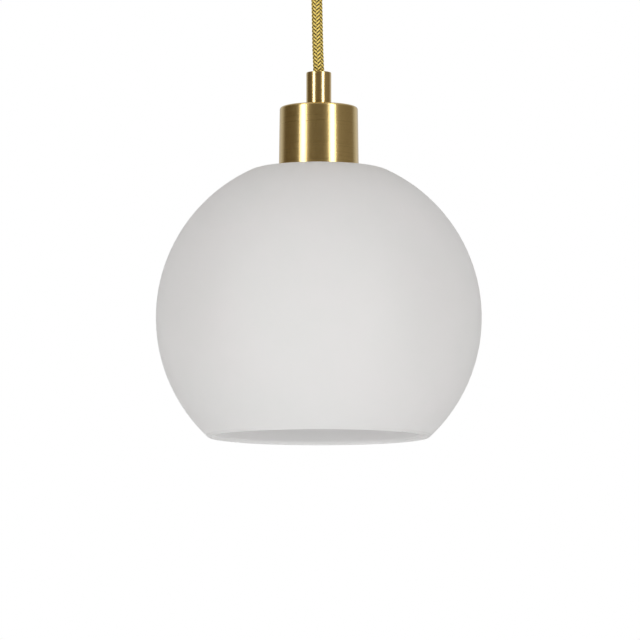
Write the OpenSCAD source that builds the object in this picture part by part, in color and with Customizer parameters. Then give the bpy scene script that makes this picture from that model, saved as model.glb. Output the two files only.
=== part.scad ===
// Pendant ceiling light: canopy, braided flex, brass cup, E27 lampholder, opal glass globe and lamp.
// Millimetres, +Z up. The origin is on the ceiling, at the centre of the bracket.

/* [Canopy and bracket] */
// Outside diameter of the canopy
canopy_d = 100; // [84:1:130]
// Height of the canopy below the ceiling
canopy_h = 36; // [34:1:60]
// Sheet thickness of the canopy
canopy_wall = 1.2; // [0.8:0.1:2]
// Radius of the canopy's lower edge
canopy_edge_r = 6; // [2:0.5:12]
// Width of the ceiling bracket
bracket_w = 36; // [34:1:44]
// Sheet thickness of the bracket
bracket_t = 1.6; // [1.2:0.1:2.5]
// Gap between the bracket's ends and the canopy
bracket_gap = 2.5; // [1:0.5:4]
// Distance between the bracket's two fixing slots
slot_spacing = 56; // [54:1:58]
// End to end length of a fixing slot
slot_len = 10; // [7:0.5:11]
// Width of a fixing slot
slot_w = 5; // [4:0.1:5.5]

/* [Cord and grips] */
// Diameter of the braided cord
cord_d = 7; // [5.5:0.1:7.6]
// Free length of the cord between the two grips
cord_free = 64; // [64:1:64]
// Length of the canopy's cord grip
canopy_grip_len = 16; // [15:0.5:24]
// Diameter of the canopy's cord grip
canopy_grip_d = 14; // [13:0.5:18]
// Length of the lamp's cord grip
lamp_grip_len = 21.7; // [18:0.1:30]
// Diameter of the lamp's cord grip
lamp_grip_d = 15.4; // [13:0.1:18]
// Thread diameter of the hollow nipples
nipple_d = 10; // [10:0.5:11]
// Bore of the hollow nipples
nipple_bore = 8; // [7.8:0.1:8.4]

/* [Cup] */
// Diameter at the top of the brass cup
cup_top_d = 48.2; // [46:0.2:60]
// Diameter at the bottom rim of the brass cup
cup_rim_d = 49.2; // [46:0.2:60]
// Height of the brass cup
cup_h = 37.9; // [36:0.1:50]
// Sheet thickness of the brass cup
cup_wall = 1.2; // [0.8:0.1:1.6]
// Radius of the brass cup's top edge
cup_edge_r = 1.6; // [0.6:0.1:4]

/* [Glass globe] */
// Outside radius of the globe
globe_r = 100; // [82:1:140]
// Wall thickness of the glass
glass_wall = 3; // [2:0.1:4.5]
// Radius at which the globe is flattened on top
flat_r = 40; // [34:0.5:48]
// Radius at which the globe is cut for its mouth
mouth_r = 67.6; // [50:0.2:78]
// Blend radius between the flat top and the globe
shoulder_r = 16; // [6:1:30]
// Thickness of the silicone gaskets
gasket_t = 0.8; // [0.5:0.1:1.5]

/* [Lampholder] */
// Thread diameter of the lampholder's skirt
skirt_d = 39.8; // [38:0.2:42]
// Outside diameter of the lampholder's dome
dome_d = 39; // [37:0.2:41]
// Height of the shade ring
ring_h = 11; // [8:0.5:12]
// Diameter of the shade ring's flange
ring_flange_d = 58; // [50:1:64]

/* [Lamp] */
// Diameter of the lamp's screw cap
cap_d = 26.3; // [26:0.1:26.6]
// Diameter of the lamp's bulb
bulb_d = 60; // [55:1:66]
// Length of the lamp over all
bulb_len = 108; // [100:1:116]

/* [Hidden] */
$fn = 96;

// Fits
thread_gap = 0.05;
slip_gap = 0.25;
wire_gap = 0.1;
lap = 1;

// Heights down the axis, from the ceiling to the globe's centre
z_canopy = -canopy_h;
z_top_mouth = z_canopy - canopy_grip_len;
z_lamp_mouth = z_top_mouth - cord_free;
z_cup = z_lamp_mouth - lamp_grip_len;
z_cup_rim = z_cup - cup_h;
z_glass = z_cup_rim - gasket_t;
z_globe = z_glass - sqrt(globe_r * globe_r - flat_r * flat_r);
z_mouth = z_globe - sqrt(globe_r * globe_r - mouth_r * mouth_r);

// Bracket
canopy_in_r = canopy_d / 2 - canopy_wall;
bracket_r = canopy_in_r - bracket_gap;
ear_w = 16;
ear_h = 16;
ear_corner = 1;
ear_x = sqrt(pow(bracket_r, 2) - pow(ear_w / 2 + ear_corner, 2));
side_screw_z = -10;
side_screw_d = 4;
cable_hole_d = 9;
cable_hole_y = 11.5;
earth_x = -15;
earth_y = 11;
earth_screw_d = 4;
lug_d = 8;
lug_tail = [9, 3.2];

// Terminal block, on the bracket's underside
block_size = [22, 17, 12.4];
block_y = -7;
block_screw_d = 3;
pole_x = 5;
pole_z = -bracket_t - 7;
pole_d = 5.2;
pole_bore = 3.2;
pole_screw_d = 2.4;
pole_screw_y = 4.5;
pole_screw_hole_d = 4;

// Cord grips, nipples and their nuts
bell_depth = 2;
bell_d = cord_d + 1.5;
grub_d = 3;
grub_depth = 6;
nipple_depth = 9;
canopy_nipple_top = 7;
nut_af = 14;
nut_h = 3;
washer_t = 1;
washer_d = 18;
washer_teeth = 12;
tooth_gap = [3, 1.4];
tag_t = 0.8;
cord_gap = 1.1;
clamp_size = [18, 13, 6];
clamp_screw_d = 3;
sheath_above_clamp = 2;
sheath_top = z_canopy + canopy_nipple_top + clamp_size[2] + sheath_above_clamp;

// Lampholder, down from the cup's inside
z_cup_inside = z_cup - cup_wall;
z_tag = z_cup_inside - tag_t;
z_cup_washer = z_tag - washer_t;
z_cup_nut = z_cup_washer - nut_h;
z_dome = z_cup_nut - 0.4;
dome_boss_d = 16;
dome_boss_h = 8;
dome_wall = 1.6;
dome_slope = 4;
z_dome_in = z_dome - dome_boss_h;
z_sheath_end = z_dome_in + 1.5;
earth_way_y = 13;
earth_way_d = 3.4;
z_insert = z_dome - 20.8;
insert_h = 8;
z_neck = z_insert - insert_h;
neck_h = 7;
z_skirt = z_neck - neck_h;
skirt_h = 25;
skirt_mouth_d = 32;
skirt_mouth_h = 6;
dome_in_d = dome_d - 2 * dome_wall;
z_ring = z_glass - glass_wall - gasket_t;
ring_flange_t = 2.5;
ring_hub_d = 46;
ring_lugs = 6;
glass_hole_d = 42;
shell_t = 0.5;
shell_d = cap_d + 0.2;
shell_h = 25;
shell_hole_d = 17;
terminal_size = [9, 7, 6];
terminal_x = 9;
wire_hole_d = 2.6;
wire_hole_depth = 4;
holder_screw_d = 2.5;
rivet_d = 2.4;
live_rivet_x = -6.5;
neutral_rivet_x = 10.5;
leaf_t = 0.5;
leaf_w = 5;
leaf_drop = 1.8;

// Lamp, down from the centre contact
z_tip = z_neck - leaf_t - leaf_drop - thread_gap;
tip_d = 9.6;
tip_h = 1;
tip_stem_d = 2.4;
z_cone = z_tip - tip_h;
cone_h = 3;
z_cap = z_cone - cone_h;
cap_h = 21;
cap_wall = 0.4;
z_housing = z_cap - cap_h;
bulb_r = bulb_d / 2;
z_bulb = z_tip - bulb_len + bulb_r;
z_bulb_joint = z_bulb + 13;
bulb_joint_r = sqrt(bulb_r * bulb_r - 13 * 13);
bulb_wall = 1.5;
housing_start_r = 13.6;
housing_wall = 2;
housing_power = 1.42;
led_board_r = 23;
led_board_t = 1.6;
led_count = 12;
led_ring_r = 15;

// Wire cores, three round the cord's middle
core_d = 2.2;
core_x = 1.3;
core_y = 0.75;
core_side = 8;

// Screw heads: [diameter, height]
side_screw_head = [7, 2];
clamp_screw_head = [5, 1.6];
pole_screw_head = [3.6, 1.4];
block_screw_head = [5.4, 1.6];
earth_screw_head = [7.6, 2.4];
holder_screw_head = [4, 1.4];

// The cord's route, from 2 mm inside the canopy's grip to 2 mm inside the lamp's: [x, y, below the
// canopy's mouth]
CORD_ROUTE = [
    [0, 0, 2], [0, 0, 0], [-0.3, 0, -4], [-0.8, 0, -9], [-1.1, 0, -14], [-1.2, 0, -19],
    [-1.1, 0, -24], [-1, 0, -29], [-0.9, 0, -34], [-0.8, 0, -39], [-0.7, 0, -44], [-0.6, 0, -49],
    [-0.4, 0, -54], [-0.2, 0, -59], [0, 0, -64], [0, 0, -66]
];

// Colours
brass = [0.72, 0.58, 0.36];
bright_brass = [0.80, 0.66, 0.38];
steel = [0.75, 0.76, 0.78];
opal = [0.93, 0.94, 0.92];
textile = [0.55, 0.47, 0.20];
black_plastic = [0.10, 0.10, 0.11];
white_plastic = [0.92, 0.92, 0.90];
ceramic = [0.95, 0.94, 0.90];
silicone = [0.85, 0.86, 0.86];
brown = [0.35, 0.20, 0.12];
blue = [0.12, 0.28, 0.62];
earth_green = [0.35, 0.62, 0.15];

// ---- Shared shapes ----

function unit(v) = v / norm(v);
function heading(path, i) = unit(path[min(i + 1, len(path) - 1)] - path[max(i - 1, 0)]);

// A point on the smooth curve through a, b, c and d, between b and c
function curve_point(a, b, c, d, t) =
    0.5 * (2 * b + (c - a) * t + (2 * a - 5 * b + 4 * c - d) * t * t
    + (3 * b - a - 3 * c + d) * t * t * t);

// The smooth curve through a list of points, in steps per span
function smooth(path, steps) = concat(
    [for (i = [0 : len(path) - 2], s = [0 : steps - 1])
        curve_point(path[max(i - 1, 0)], path[i], path[i + 1], path[min(i + 2, len(path) - 1)],
            s / steps)],
    [path[len(path) - 1]]);

// One ring of a tube: side is any direction that the path never follows
function tube_ring(path, i, r, sides, side) =
    let (along = heading(path, i), u = unit(cross(along, side)), v = cross(along, u))
    [for (k = [0 : sides - 1])
        path[i] + r * (cos(360 * k / sides) * u + sin(360 * k / sides) * v)];

module tube(path, d, sides, side) {
    rings = len(path);
    points = [for (i = [0 : rings - 1], p = tube_ring(path, i, d / 2, sides, side)) p];
    walls = [for (i = [0 : rings - 2], k = [0 : sides - 1])
        [i * sides + k, (i + 1) * sides + k, (i + 1) * sides + (k + 1) % sides,
            i * sides + (k + 1) % sides]];
    first = [for (k = [0 : sides - 1]) k];
    last = [for (k = [sides - 1 : -1 : 0]) (rings - 1) * sides + k];
    polyhedron(points = points, faces = concat(walls, [first, last]));
}

// A round bar or hole from z_low to z_high
module bar(d, z_low, z_high) {
    translate([0, 0, z_low]) cylinder(d = d, h = z_high - z_low);
}

module pipe(d, bore, z_low, z_high) {
    difference() {
        bar(d, z_low, z_high);
        bar(bore, z_low - lap, z_high + lap);
    }
}

module hex_nut(z_low) {
    difference() {
        translate([0, 0, z_low]) cylinder(d = nut_af / cos(30), h = nut_h, $fn = 6);
        bar(nipple_d + 2 * thread_gap, z_low - lap, z_low + nut_h + lap);
    }
}

module toothed_washer(z_low) {
    difference() {
        pipe(washer_d, nipple_d + 2 * slip_gap, z_low, z_low + washer_t);
        for (k = [0 : washer_teeth - 1])
            rotate([0, 0, 360 * k / washer_teeth])
                translate([washer_d / 2 - tooth_gap[0] + 0.5, -tooth_gap[1] / 2, z_low - lap])
                    cube([tooth_gap[0], tooth_gap[1], washer_t + 2 * lap]);
    }
}

// The slice of a disc between two directions, up to a quarter turn apart
module slice(centre, r, first, last) {
    middle = (first + last) / 2;
    translate(centre) intersection() {
        circle(r = r);
        polygon([[0, 0], 2 * r * [cos(first), sin(first)], 3 * r * [cos(middle), sin(middle)],
            2 * r * [cos(last), sin(last)]]);
    }
}

// Half section of a cord grip: the cord's mouth is at height 0 and the nipple enters from -length
module grip_section(d, length) {
    edge = 0.5;
    r = d / 2;
    nipple_hole_r = nipple_d / 2 + thread_gap;
    difference() {
        union() {
            polygon([[0, 0], [0, -length], [r, -length], [r, -edge], [r - edge, 0]]);
            slice([r - edge, -edge], edge, 0, 90);
        }
        translate([0, -length - lap]) square([nipple_hole_r, length - nipple_depth + lap]);
        translate([0, -length - lap]) square([cord_d / 2 + slip_gap, length + 2 * lap]);
        translate([0, -bell_depth - cord_gap]) square([bell_d / 2, bell_depth + cord_gap + lap]);
    }
}

// A cord grip with its mouth at height 0, pointing up, and its grub screw hole at the back
module grip(d, length) {
    difference() {
        rotate_extrude() grip_section(d, length);
        translate([0, 0, -grub_depth])
            rotate([-90, 0, 0])
                cylinder(d = grub_d + 2 * thread_gap, h = d);
    }
}

module grub_screw(d) {
    inner = cord_d / 2 + thread_gap;
    translate([0, 0, -grub_depth])
        rotate([-90, 0, 0])
            difference() {
                translate([0, 0, inner]) cylinder(d = grub_d, h = d / 2 - 0.2 - inner);
                translate([-grub_d, -0.25, d / 2 - 1]) cube([2 * grub_d, 0.5, lap]);
            }
}

// A slotted cheese-head screw along +Z, with the underside of its head at height 0
module slotted_screw(d, head, length) {
    cut = head[1] / 2;
    difference() {
        union() {
            cylinder(d = head[0], h = head[1]);
            translate([0, 0, -length]) cylinder(d = d, h = length);
        }
        translate([-head[0], -cut / 2, cut]) cube([2 * head[0], cut, head[1]]);
    }
}

// Half section of a pot with a rounded bottom corner, standing on height 0
module pot_section(r, h, edge) {
    polygon([[0, 0], [r - edge, 0], [r, edge], [r, h], [0, h]]);
    slice([r - edge, edge], edge, -90, 0);
}

// Half section of the globe with its flattened top: the centre is at the origin
module globe_section(r, top, blend) {
    blend_x = sqrt((r - blend) * (r - blend) - (top - blend) * (top - blend));
    blend_y = top - blend;
    join_x = blend_x * r / (r - blend);
    join_y = blend_y * r / (r - blend);
    intersection() {
        circle(r = r, $fn = 360);
        translate([0, -r]) square([r, r + join_y]);
    }
    polygon([[0, 0], [join_x, join_y], [blend_x, top], [0, top]]);
    slice([blend_x, blend_y], blend, atan2(join_y, join_x), 90, $fn = 720);
}

// ---- Ceiling fitting ----

module ceiling_bracket() {
    color(steel) difference() {
        union() {
            intersection() {
                bar(2 * bracket_r, -bracket_t, 0);
                translate([-ear_x, -bracket_w / 2, -bracket_t])
                    cube([2 * ear_x, bracket_w, bracket_t]);
            }
            for (x = [-ear_x, ear_x - bracket_t])
                translate([x, -ear_w / 2, -ear_h]) cube([bracket_t, ear_w, ear_h]);
        }
        for (x = [-slot_spacing / 2, slot_spacing / 2])
            translate([x, 0, 0]) {
                half = (slot_len - slot_w) / 2;
                translate([-half, 0, 0]) bar(slot_w, -bracket_t - lap, lap);
                translate([half, 0, 0]) bar(slot_w, -bracket_t - lap, lap);
                translate([-half, -slot_w / 2, -bracket_t - lap])
                    cube([2 * half, slot_w, bracket_t + 2 * lap]);
            }
        translate([0, cable_hole_y, 0]) bar(cable_hole_d, -bracket_t - lap, lap);
        translate([0, block_y, 0]) bar(block_screw_d + 2 * thread_gap, -bracket_t - lap, lap);
        translate([earth_x, earth_y, 0])
            bar(earth_screw_d + 2 * thread_gap, -bracket_t - lap, lap);
        translate([-canopy_d / 2, 0, side_screw_z])
            rotate([0, 90, 0])
                cylinder(d = side_screw_d + 2 * thread_gap, h = canopy_d);
    }
}

module canopy() {
    color(brass) difference() {
        translate([0, 0, z_canopy])
            rotate_extrude()
                difference() {
                    pot_section(canopy_d / 2, canopy_h, canopy_edge_r);
                    translate([0, canopy_wall])
                        pot_section(canopy_in_r, canopy_h, max(canopy_edge_r - canopy_wall, 0.2));
                }
        bar(nipple_d + 2 * slip_gap, z_canopy - lap, z_canopy + canopy_wall + lap);
        translate([-canopy_d / 2 - lap, 0, side_screw_z])
            rotate([0, 90, 0])
                cylinder(d = side_screw_d + 2 * slip_gap, h = canopy_d + 2 * lap);
    }
}

module canopy_screws() {
    color(bright_brass)
        for (turn = [0, 180])
            rotate([0, 0, turn])
                translate([canopy_d / 2, 0, side_screw_z])
                    rotate([0, 90, 0])
                        slotted_screw(side_screw_d, side_screw_head,
                            canopy_d / 2 - ear_x + bracket_t + 2);
}

module canopy_grip() {
    color(brass)
        translate([0, 0, z_top_mouth])
            mirror([0, 0, 1])
                grip(canopy_grip_d, canopy_grip_len);
}

module canopy_grip_screw() {
    color(steel)
        translate([0, 0, z_top_mouth])
            mirror([0, 0, 1])
                grub_screw(canopy_grip_d);
}

module canopy_nipple() {
    color(steel)
        pipe(nipple_d, nipple_bore, z_top_mouth + nipple_depth, z_canopy + canopy_nipple_top);
}

module canopy_washer() {
    color(steel) toothed_washer(z_canopy + canopy_wall);
}

module canopy_nut() {
    color(steel) hex_nut(z_canopy + canopy_wall + washer_t);
}

module cord_clamp() {
    low = z_canopy + canopy_nipple_top;
    color(white_plastic) difference() {
        translate([-clamp_size[0] / 2, -clamp_size[1] / 2, low]) cube(clamp_size);
        bar(cord_d + 2 * thread_gap, low - lap, low + clamp_size[2] + lap);
        translate([0, 0, low + clamp_size[2] / 2])
            rotate([0, 90, 0])
                cylinder(d = clamp_screw_d + 2 * thread_gap, h = clamp_size[0]);
    }
}

module clamp_screw() {
    length = (clamp_size[0] - cord_d) / 2 - thread_gap;
    color(steel)
        translate([clamp_size[0] / 2, 0, z_canopy + canopy_nipple_top + clamp_size[2] / 2])
            rotate([0, 90, 0])
                slotted_screw(clamp_screw_d, clamp_screw_head, length);
}

module pole_screw_places() {
    for (x = [-pole_x, pole_x], y = [-pole_screw_y, pole_screw_y])
        translate([x, block_y + y, 0]) children();
}

module terminal_block() {
    bottom = -bracket_t - block_size[2];
    color(white_plastic) difference() {
        translate([-block_size[0] / 2, block_y - block_size[1] / 2, bottom]) cube(block_size);
        for (x = [-pole_x, pole_x])
            translate([x, block_y - block_size[1] / 2 - lap, pole_z])
                rotate([-90, 0, 0])
                    cylinder(d = pole_d + 2 * thread_gap, h = block_size[1] + 2 * lap);
        pole_screw_places() bar(pole_screw_hole_d, bottom - lap, pole_z);
        translate([0, block_y, 0]) bar(block_screw_d + 2 * thread_gap, bottom - lap, lap);
    }
}

module terminal_tubes() {
    length = block_size[1] - 3;
    color(bright_brass) difference() {
        for (x = [-pole_x, pole_x])
            translate([x, block_y - length / 2, pole_z])
                rotate([-90, 0, 0])
                    difference() {
                        cylinder(d = pole_d, h = length);
                        translate([0, 0, -lap]) cylinder(d = pole_bore, h = length + 2 * lap);
                    }
        pole_screw_places() bar(pole_screw_d + 2 * thread_gap, pole_z - pole_d, pole_z);
    }
}

module terminal_screws() {
    head_z = pole_z - pole_d / 2 - 1;
    color(steel)
        pole_screw_places()
            translate([0, 0, head_z])
                mirror([0, 0, 1])
                    slotted_screw(pole_screw_d, pole_screw_head,
                        pole_z - core_d / 2 - wire_gap - head_z);
}

module block_screw() {
    color(steel)
        translate([0, block_y, -bracket_t - block_size[2]])
            mirror([0, 0, 1])
                slotted_screw(block_screw_d, block_screw_head, block_size[2] + bracket_t);
}

module earth_lug() {
    color(bright_brass)
        translate([earth_x, earth_y, -bracket_t - tag_t])
            difference() {
                union() {
                    cylinder(d = lug_d, h = tag_t);
                    translate([0, -lug_tail[1] / 2, 0]) cube([lug_tail[0], lug_tail[1], tag_t]);
                }
                translate([0, 0, -lap])
                    cylinder(d = earth_screw_d + 2 * thread_gap, h = tag_t + 2 * lap);
            }
}

module earth_screw() {
    color(bright_brass)
        translate([earth_x, earth_y, -bracket_t - tag_t])
            mirror([0, 0, 1])
                slotted_screw(earth_screw_d, earth_screw_head, bracket_t + tag_t);
}

// A core's route from the cord's end over and back into its terminal tube
function pole_route(side) = [
    [side * core_x, core_y, sheath_top + thread_gap],
    [side * core_x, core_y, sheath_top + 0.7],
    [side * core_x, core_y, sheath_top + 1.4],
    [side * 3.4, 5, sheath_top + 3.8],
    [side * pole_x, 8.5, pole_z - 5],
    [side * pole_x, 9.5, pole_z - 2.5],
    [side * pole_x, 7, pole_z],
    [side * pole_x, 3, pole_z],
    [side * pole_x, block_y + pole_screw_y - 3, pole_z]
];

module canopy_live_core() {
    color(brown) tube(smooth(pole_route(-1), 3), core_d, core_side, [1, 0, 0]);
}

module canopy_neutral_core() {
    color(blue) tube(smooth(pole_route(1), 3), core_d, core_side, [1, 0, 0]);
}

module canopy_earth_core() {
    lug_z = -bracket_t - tag_t - core_d / 2;
    route = [
        [0, -2 * core_y, sheath_top + thread_gap], [0, -2 * core_y, sheath_top + 0.7],
        [0, -2 * core_y, sheath_top + 1.4], [-5, -3.6, sheath_top + 3.4],
        [-13, -1.5, sheath_top + 4], [-15.5, 1, sheath_top + 7], [-13, 3.5, lug_z - 6],
        [-8, 7, lug_z - 3.5], [-4.5, earth_y, lug_z - 1], [-6, earth_y, lug_z],
        [-9, earth_y, lug_z]
    ];
    color(earth_green) tube(smooth(route, 3), core_d, core_side, [0.3, 0.4, -1]);
}

module canopy_cord_end() {
    color(textile) bar(cord_d, z_top_mouth + bell_depth + cord_gap, sheath_top);
}

// ---- Cord ----

module cord() {
    route = [for (p = CORD_ROUTE) [p[0], p[1], p[2] + z_top_mouth]];
    color(textile) tube(smooth(route, 2), cord_d, 12, [0, 1, 0]);
}

// ---- Lamp body ----

module lamp_grip() {
    color(brass) translate([0, 0, z_lamp_mouth]) grip(lamp_grip_d, lamp_grip_len);
}

module lamp_grip_screw() {
    color(steel) translate([0, 0, z_lamp_mouth]) grub_screw(lamp_grip_d);
}

module lamp_nipple() {
    color(steel) pipe(nipple_d, nipple_bore, z_dome_in + 1, z_lamp_mouth - nipple_depth);
}

module cup() {
    top_r = cup_top_d / 2;
    rim_r = cup_rim_d / 2;
    taper = atan((rim_r - top_r) / cup_h);
    edge_x = top_r - cup_edge_r;
    join = [edge_x, -cup_edge_r] + cup_edge_r * [cos(taper), sin(taper)];
    color(brass) translate([0, 0, z_cup]) rotate_extrude() difference() {
        union() {
            polygon([[0, 0], [0, -cup_h], [rim_r, -cup_h], join, [edge_x, 0]]);
            slice([edge_x, -cup_edge_r], cup_edge_r, taper, 90);
        }
        polygon([[0, -cup_wall], [0, -cup_h - lap], [rim_r - cup_wall, -cup_h - lap],
            [top_r - cup_wall, -cup_wall]]);
        translate([0, -cup_wall - lap]) square([nipple_d / 2 + slip_gap, 3 * lap]);
    }
}

module earth_tag() {
    color(bright_brass) difference() {
        union() {
            bar(16, z_tag, z_cup_inside);
            translate([-2.5, 0, z_tag]) cube([5, 16, tag_t]);
        }
        bar(nipple_d + 2 * slip_gap, z_tag - lap, z_cup_inside + lap);
    }
}

module cup_washer() {
    color(steel) toothed_washer(z_cup_washer);
}

module cup_nut() {
    color(steel) hex_nut(z_cup_nut);
}

module holder_dome() {
    boss_r = dome_boss_d / 2;
    r = dome_d / 2;
    in_r = dome_in_d / 2;
    bore_r = nipple_d / 2 + thread_gap;
    color(black_plastic) difference() {
        rotate_extrude() polygon([
            [bore_r, z_dome], [boss_r, z_dome], [boss_r, z_dome_in + 2],
            [r, z_dome_in + 2 - dome_slope], [r, z_skirt], [in_r, z_skirt],
            [in_r, z_dome_in - dome_slope], [bore_r, z_dome_in]
        ]);
        translate([0, earth_way_y, 0]) bar(earth_way_d, z_insert, z_dome);
    }
}

module rivet_holes() {
    for (x = [live_rivet_x, neutral_rivet_x])
        translate([x, 0, 0]) bar(rivet_d + 2 * thread_gap, z_neck - 2, z_insert + 1.4);
}

module holder_insert() {
    color(ceramic) difference() {
        bar(dome_in_d - 2 * slip_gap, z_neck, z_insert);
        rivet_holes();
    }
}

module holder_terminals() {
    wire_r = wire_hole_d / 2;
    top = z_insert + terminal_size[2];
    color(bright_brass) difference() {
        for (side = [-1, 1])
            difference() {
                translate([side * terminal_x - terminal_size[0] / 2, -terminal_size[1] / 2, z_insert])
                    cube(terminal_size);
                translate([side * terminal_x, 0, 0]) bar(wire_hole_d, top - wire_hole_depth, top + lap);
                translate([side * terminal_x, 0, top - 2])
                    rotate([0, side * 90, 0])
                        cylinder(d = holder_screw_d + 2 * thread_gap, h = terminal_size[0]);
            }
        rivet_holes();
    }
}

module holder_screws() {
    z = z_insert + terminal_size[2] - 2;
    reach = terminal_size[0] / 2 - core_d / 2 - wire_gap;
    color(steel)
        for (side = [-1, 1])
            translate([side * (terminal_x + terminal_size[0] / 2), 0, z])
                rotate([0, side * 90, 0])
                    slotted_screw(holder_screw_d, holder_screw_head, reach);
}

module holder_rivets() {
    color(bright_brass)
        for (x = [live_rivet_x, neutral_rivet_x]) {
            translate([x, 0, 0]) bar(rivet_d, z_neck - leaf_t, z_insert + 1.2);
            translate([x, 0, 0]) bar(rivet_d + 1.2, z_neck - leaf_t - 0.6, z_neck - leaf_t);
        }
}

module holder_skirt() {
    bore_r = shell_d / 2 + shell_t + thread_gap;
    neck_r = dome_in_d / 2 - thread_gap;
    color(black_plastic) rotate_extrude() difference() {
        union() {
            translate([0, z_skirt]) square([neck_r, neck_h]);
            translate([0, z_skirt - skirt_h]) square([skirt_d / 2, skirt_h]);
        }
        translate([0, z_skirt - skirt_h - lap]) square([bore_r, skirt_h + neck_h + 2 * lap]);
        translate([0, z_skirt - skirt_h - lap]) square([skirt_mouth_d / 2, skirt_mouth_h + lap]);
    }
}

// The holder's threaded contact: a thin shell with an inward flange riveted under the insert
module screw_shell() {
    r = shell_d / 2;
    color(bright_brass) difference() {
        rotate_extrude() polygon([
            [shell_hole_d / 2, z_neck], [r + shell_t, z_neck], [r + shell_t, z_neck - shell_h],
            [r, z_neck - shell_h], [r, z_neck - shell_t], [shell_hole_d / 2, z_neck - shell_t]
        ]);
        rivet_holes();
    }
}

// A springy strip, riveted at one end and pressed by the lamp's tip at the other
module centre_contact() {
    base = live_rivet_x - 1.4;
    bend_x = live_rivet_x + 2.2;
    low = z_neck - leaf_t - leaf_drop;
    color(bright_brass) difference() {
        translate([0, leaf_w / 2, 0])
            rotate([90, 0, 0])
                linear_extrude(leaf_w)
                    polygon([
                        [base, z_neck], [bend_x, z_neck], [-0.8, low + leaf_t], [2.4, low + leaf_t],
                        [2.4, low], [-1.1, low], [bend_x - 0.3, z_neck - leaf_t],
                        [base, z_neck - leaf_t]
                    ]);
        rivet_holes();
    }
}

function holder_route(side) = [
    [side * core_x, -core_y, z_sheath_end - thread_gap],
    [side * core_x, -core_y, z_sheath_end - 0.7],
    [side * core_x, -core_y, z_sheath_end - 1.6],
    [side * 3.2, -core_y / 2, z_sheath_end - 3.3],
    [side * (terminal_x - 2.8), 0, z_sheath_end - 4.8],
    [side * (terminal_x - 0.4), 0, z_sheath_end - 6.4],
    [side * terminal_x, 0, z_insert + terminal_size[2]],
    [side * terminal_x, 0, z_insert + terminal_size[2] - wire_hole_depth + 0.5]
];

module lamp_live_core() {
    color(brown) tube(smooth(holder_route(-1), 3), core_d, core_side, [0, 1, 0]);
}

module lamp_neutral_core() {
    color(blue) tube(smooth(holder_route(1), 3), core_d, core_side, [0, 1, 0]);
}

// The earth core turns back up through the dome's side hole to the tag under the cup
module lamp_earth_core() {
    route = [
        [0, 2 * core_y, z_sheath_end - thread_gap], [0, 2 * core_y, z_sheath_end - 0.7],
        [0, 2 * core_y, z_sheath_end - 1.6], [0, 2.7, z_sheath_end - 4.2],
        [0, 5.8, z_sheath_end - 6.6], [0, 9.6, z_sheath_end - 7.3],
        [0, 12.4, z_sheath_end - 5.4], [0, earth_way_y, z_dome_in - 0.5],
        [0, earth_way_y, z_dome_in + 4], [0, earth_way_y, z_tag - 1]
    ];
    color(earth_green) tube(smooth(route, 3), core_d, core_side, [1, 0, 0]);
}

module lamp_cord_end() {
    color(textile) bar(cord_d, z_sheath_end, z_lamp_mouth - bell_depth - cord_gap);
}

// ---- Glass and its ring ----

module glass_globe() {
    top = z_glass - z_globe;
    bead_r = glass_wall / 2;
    bead_y = z_mouth - z_globe + bead_r;
    mid_r = globe_r - bead_r;
    bead_x = sqrt(mid_r * mid_r - bead_y * bead_y);
    color(opal) translate([0, 0, z_globe]) rotate_extrude($fn = 180) {
        difference() {
            globe_section(globe_r, top, shoulder_r);
            globe_section(globe_r - glass_wall, top - glass_wall, shoulder_r - glass_wall);
            square([glass_hole_d / 2, globe_r]);
            polygon([[0, 0], [bead_x * 2, bead_y * 2], [0, bead_y * 2]]);
        }
        translate([bead_x, bead_y]) circle(r = bead_r);
    }
}

module cup_gasket() {
    color(silicone) pipe(cup_rim_d - 0.6, glass_hole_d, z_glass, z_cup_rim);
}

module ring_gasket() {
    color(silicone) pipe(ring_flange_d - 2, glass_hole_d, z_ring, z_ring + gasket_t);
}

module shade_ring() {
    color(black_plastic) difference() {
        union() {
            bar(ring_flange_d, z_ring - ring_flange_t, z_ring);
            bar(ring_hub_d, z_ring - ring_h, z_ring);
            for (k = [0 : ring_lugs - 1])
                rotate([0, 0, 360 * k / ring_lugs])
                    translate([ring_hub_d / 2 - 1, -1.5, z_ring - ring_h])
                        cube([ring_flange_d / 2 - ring_hub_d / 2, 3, ring_h]);
        }
        bar(skirt_d + 2 * thread_gap, z_ring - ring_h - lap, z_ring + lap);
    }
}

// ---- Lamp ----

module bulb_tip() {
    color(steel) {
        bar(tip_d, z_cone, z_tip);
        bar(tip_stem_d, z_cap - 2, z_cone);
    }
}

module bulb_insulator() {
    bore_r = tip_stem_d / 2 + thread_gap;
    in_r = cap_d / 2 - cap_wall - thread_gap;
    color(black_plastic) rotate_extrude() polygon([
        [bore_r, z_cone], [tip_d / 2 + 0.4, z_cone], [in_r - 1, z_cap], [in_r, z_cap],
        [in_r, z_cap - 2.5], [bore_r, z_cap - 2.5]
    ]);
}

module bulb_cap() {
    color(steel) pipe(cap_d, cap_d - 2 * cap_wall, z_housing, z_cap);
}

// Outer radius of the lamp's housing at a share s of the way from its cap to its bulb
function housing_r(s) = housing_start_r + (bulb_joint_r - housing_start_r) * pow(s, housing_power);

module bulb_housing() {
    steps = 16;
    drop = z_bulb_joint - z_housing;
    plug_r = cap_d / 2 - cap_wall - thread_gap;
    floor_s = 1 + housing_wall / drop;
    outside = [for (i = [0 : steps]) [housing_r(i / steps), z_housing + drop * i / steps]];
    inside = [for (i = [steps : -1 : 0])
        [housing_r(i / steps) - housing_wall,
            z_housing + (drop + housing_wall) * i / steps]];
    color(white_plastic) rotate_extrude() polygon(concat(
        [[plug_r - housing_wall, z_cap - 6], [plug_r, z_cap - 6], [plug_r, z_housing]],
        outside, [[0, z_bulb_joint]], [[0, z_bulb_joint + housing_wall]], inside));
}

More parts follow.
